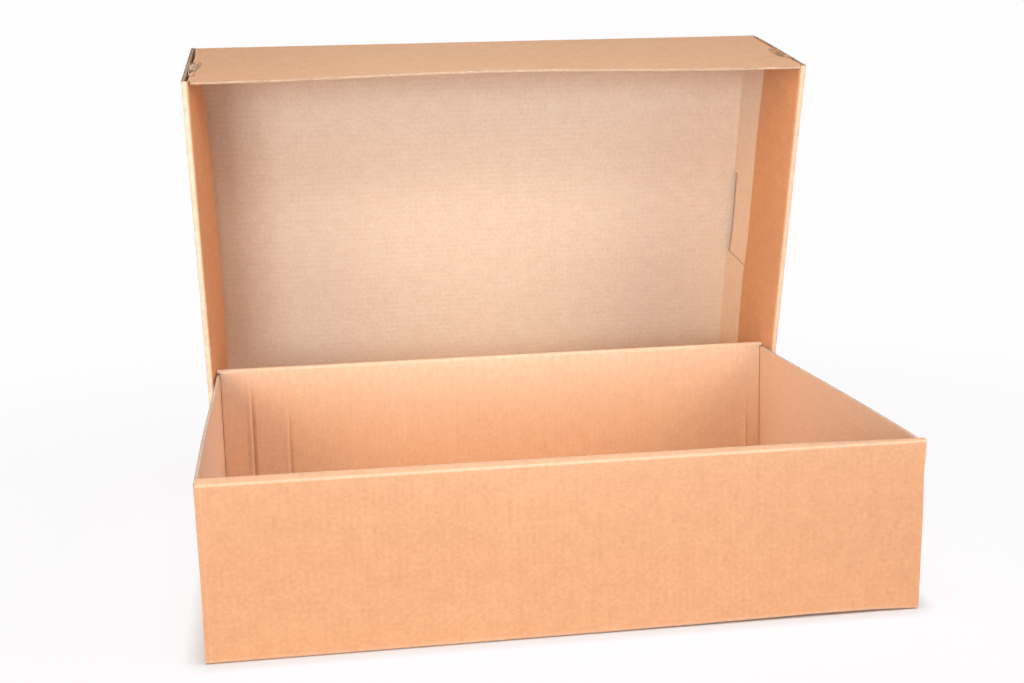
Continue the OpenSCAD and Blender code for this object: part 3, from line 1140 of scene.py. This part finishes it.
def floor_material():
    """A pale floor that reads as the plain background and keeps part of the object's shadow."""
    nodes = Nodes("pale_floor")
    nodes.surface((*FLOOR_ALBEDO, 1), FLOOR_ROUGHNESS, 0.0)
    near = nodes.add("ShaderNodeAmbientOcclusion")
    nodes.link(CONTACT_REACH, near.inputs["Distance"])
    open_share = near.outputs["AO"]
    glow = nodes.add("ShaderNodeEmission")
    nodes.link((*BACKGROUND, 1), glow.inputs["Color"])
    dimmed = nodes.math("MULTIPLY_ADD", open_share, CONTACT_SHADE, 1 - CONTACT_SHADE)
    nodes.link(dimmed, glow.inputs["Strength"])
    place = nodes.add("ShaderNodeNewGeometry")
    distance = nodes.add("ShaderNodeVectorMath", "LENGTH")
    nodes.link(place.outputs["Position"], distance.inputs[0])
    spread = nodes.add("ShaderNodeMapRange")
    nodes.link(distance.outputs["Value"], spread.inputs["Value"])
    ends = zip(("From Min", "From Max", "To Min", "To Max"), (*FLOOR_FADE, FLOOR_SHOW, 1.0))
    for socket, value in ends:
        nodes.link(value, spread.inputs[socket])
    rays = nodes.add("ShaderNodeLightPath")
    seen = nodes.math("MAXIMUM", rays.outputs["Is Camera Ray"], rays.outputs["Is Glossy Ray"])
    seen = nodes.math("MAXIMUM", seen, rays.outputs["Is Transmission Ray"])
    shown = nodes.math("MULTIPLY", spread.outputs["Result"], open_share)
    mix = nodes.add("ShaderNodeMixShader")
    nodes.link(nodes.math("MULTIPLY", seen, shown), mix.inputs[0])
    nodes.link(nodes.shader.outputs[0], mix.inputs[1])
    nodes.link(glow.outputs[0], mix.inputs[2])
    nodes.link(mix.outputs[0], nodes.tree.nodes["Material Output"].inputs["Surface"])
    return nodes.material


def make_floor():
    mesh = bpy.data.meshes.new("floor")
    half = FLOOR_SIZE / 2
    corners = [(-half, -half, 0), (half, -half, 0), (half, half, 0), (-half, half, 0)]
    mesh.from_pydata(corners, [], [(0, 1, 2, 3)])
    mesh.materials.append(floor_material())
    floor = add_object("floor", mesh)


make_floor()


# Light

AIM = Vector((0.0, 0.05, 0.2))
SPOT_SOFTNESS = 0.30
WORLD_LIGHT = 0.06


def place_light(lamp, place, aim, power, colour):
    lamp.energy = power
    lamp.color = colour
    holder = add_object(lamp.name, lamp)
    holder.location = place
    holder.rotation_euler = (Vector(aim) - Vector(place)).to_track_quat("-Z", "Y").to_euler()


def area_light(name, place, size, power, colour):
    lamp = bpy.data.lights.new(name, "AREA")
    lamp.shape = "SQUARE"
    lamp.size = size
    place_light(lamp, place, AIM, power, colour)


def spot_light(name, place, aim, cone, power, colour):
    lamp = bpy.data.lights.new(name, "SPOT")
    lamp.spot_size = math.radians(cone)
    lamp.spot_blend = 1.0
    lamp.shadow_soft_size = SPOT_SOFTNESS
    place_light(lamp, place, aim, power, colour)


area_light("key", (-1.4, -3.25, 0.6), size=1.2, power=57.5, colour=(0.93, 0.99, 1.0))
area_light("right_fill", (1.4, -0.9, 1.1), size=0.8, power=16.5, colour=(1.0, 0.72, 0.52))
area_light("left_fill", (-1.4, -0.9, 1.1), size=0.8, power=13.5, colour=(1.0, 0.55, 0.15))
area_light("overhead", (0.0, -0.5, 2.2), size=1.2, power=36.0, colour=(0.52, 0.75, 0.98))
area_light("back_fill", (0.9, 3.0, 0.55), size=1.0, power=24.0, colour=(1.0, 0.97, 0.94))
spot_light("front_beam", (-0.1, -1.6, 1.5), aim=(0.0, 0.26, 0.15),
           cone=22.3, power=85.0, colour=(0.78, 0.95, 1.0))
spot_light("lid_beam", (-0.2, -2.4, 0.7), aim=(0.05, 0.36, 0.46),
           cone=13.0, power=80.0, colour=(0.46, 0.84, 1.0))


def make_world():
    """A faint even light, which the camera sees as the plain background."""
    world = bpy.data.worlds.new("studio")
    bpy.context.scene.world = world
    world.use_nodes = True
    tree = world.node_tree
    background = tree.nodes["Background"]
    background.inputs["Color"].default_value = (*BACKGROUND, 1)
    rays = tree.nodes.new("ShaderNodeLightPath")
    strength = tree.nodes.new("ShaderNodeMix")
    strength.inputs["A"].default_value = WORLD_LIGHT
    strength.inputs["B"].default_value = 1.0
    tree.links.new(rays.outputs["Is Camera Ray"], strength.inputs["Factor"])
    tree.links.new(strength.outputs["Result"], background.inputs["Strength"])


make_world()


# Camera, from a fit of the box's corners to the photograph

IMAGE_WIDTH = 1024
FOCAL_PIXELS = 1530.3
SENSOR_MM = 36.0
CAMERA_PLACE = (-0.2322, -1.4971, 0.5015)
CAMERA_YAW = math.radians(-8.245)
CAMERA_PITCH = math.radians(10.530)
CAMERA_ROLL = math.radians(-1.411)


def place_camera():
    look = Vector((-math.sin(CAMERA_YAW) * math.cos(CAMERA_PITCH),
                   math.cos(CAMERA_YAW) * math.cos(CAMERA_PITCH), -math.sin(CAMERA_PITCH)))
    level = Vector((math.cos(CAMERA_YAW), math.sin(CAMERA_YAW), 0))
    right = math.cos(CAMERA_ROLL) * level + math.sin(CAMERA_ROLL) * level.cross(look)
    axes = Matrix((right, right.cross(look), -look)).transposed().to_4x4()
    camera = bpy.data.cameras.new("camera")
    camera.sensor_fit = "HORIZONTAL"
    camera.sensor_width = SENSOR_MM
    camera.lens = FOCAL_PIXELS / IMAGE_WIDTH * SENSOR_MM
    holder = add_object("camera", camera)
    holder.matrix_world = Matrix.Translation(CAMERA_PLACE) @ axes
    bpy.context.scene.camera = holder


place_camera()
bpy.context.scene.view_settings.view_transform = "Standard"
